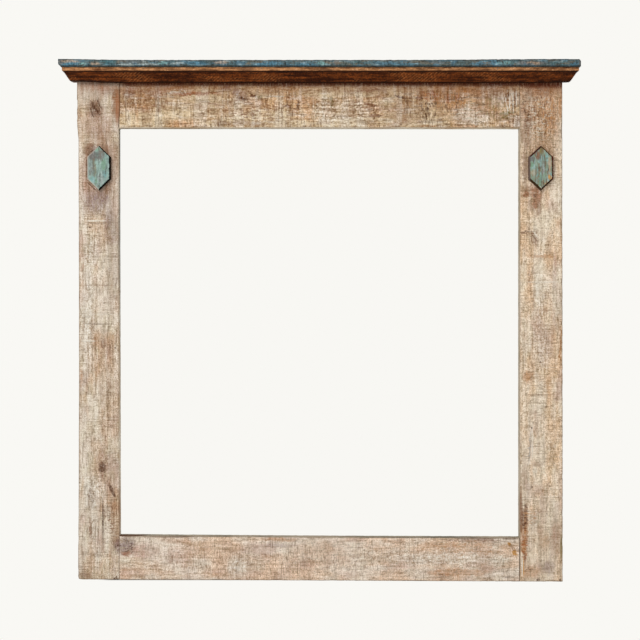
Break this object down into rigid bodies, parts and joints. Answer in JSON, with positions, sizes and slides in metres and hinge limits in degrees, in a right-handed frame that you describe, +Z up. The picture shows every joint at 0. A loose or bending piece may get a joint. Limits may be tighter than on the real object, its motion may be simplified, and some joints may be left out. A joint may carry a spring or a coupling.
{
  "type": "mirror frame",
  "caption": "Square wall mirror in a whitewashed board frame with a stained crown moulding, a painted top board, a pointed hexagon on each upright, and swinging ring hangers.",
  "frame": {"origin": "middle of the bottom edge of the frame boards' back face", "axes": "+X to the right as seen from the front, +Y out of the back towards the wall, +Z up; the front faces -Y"},
  "size_m": [1.105, 0.071, 1.11],
  "materials": {
    "whitewashed_stile": "matte",
    "whitewashed_rail": "matte",
    "dowel_wood": "matte",
    "blue_painted_wood": "matte",
    "stained_wood": "satin",
    "green_painted_wood": "matte",
    "mirror_glass": "polished",
    "batten_wood": "matte",
    "panel_board": "matte",
    "nail_steel": "satin",
    "screw_metal": "satin",
    "hanger_metal": "satin",
    "rubber": "matte"
  },
  "bodies": {
    "frame": {"stile_left": "whitewashed_stile", "stile_right": "whitewashed_stile", "rail_top": "whitewashed_rail", "rail_bottom": "whitewashed_rail", "corner_dowels": "dowel_wood", "crown_board": "blue_painted_wood", "crown_nails": "nail_steel", "moulding_front": "stained_wood", "moulding_return_left": "stained_wood", "moulding_return_right": "stained_wood", "moulding_brads": "nail_steel", "hexagon_left": "green_painted_wood", "hexagon_right": "green_painted_wood", "hexagon_pins": "nail_steel", "mirror_plate": "mirror_glass", "setting_blocks": "rubber", "batten_left": "batten_wood", "batten_right": "batten_wood", "batten_top": "batten_wood", "batten_bottom": "batten_wood", "batten_brads": "nail_steel", "back_panel": "panel_board", "back_panel_screws": "screw_metal", "hanger_strap_left": "hanger_metal", "hanger_strap_right": "hanger_metal", "hanger_screws": "screw_metal", "bumper_left": "rubber", "bumper_right": "rubber"},
    "ring_left": {"hanger_ring_left": "hanger_metal"},
    "ring_right": {"hanger_ring_right": "hanger_metal"}
  },
  "joints": [
    {"name": "ring_left_swing", "type": "hinge", "parent": "frame", "child": "ring_left", "pos_m": [-0.4855, 0.0036, 0.896], "axis": [1, 0, 0], "range_deg": [0, 180]},
    {"name": "ring_right_swing", "type": "hinge", "parent": "frame", "child": "ring_right", "pos_m": [0.4855, 0.0036, 0.896], "axis": [1, 0, 0], "range_deg": [0, 180]}
  ]
}
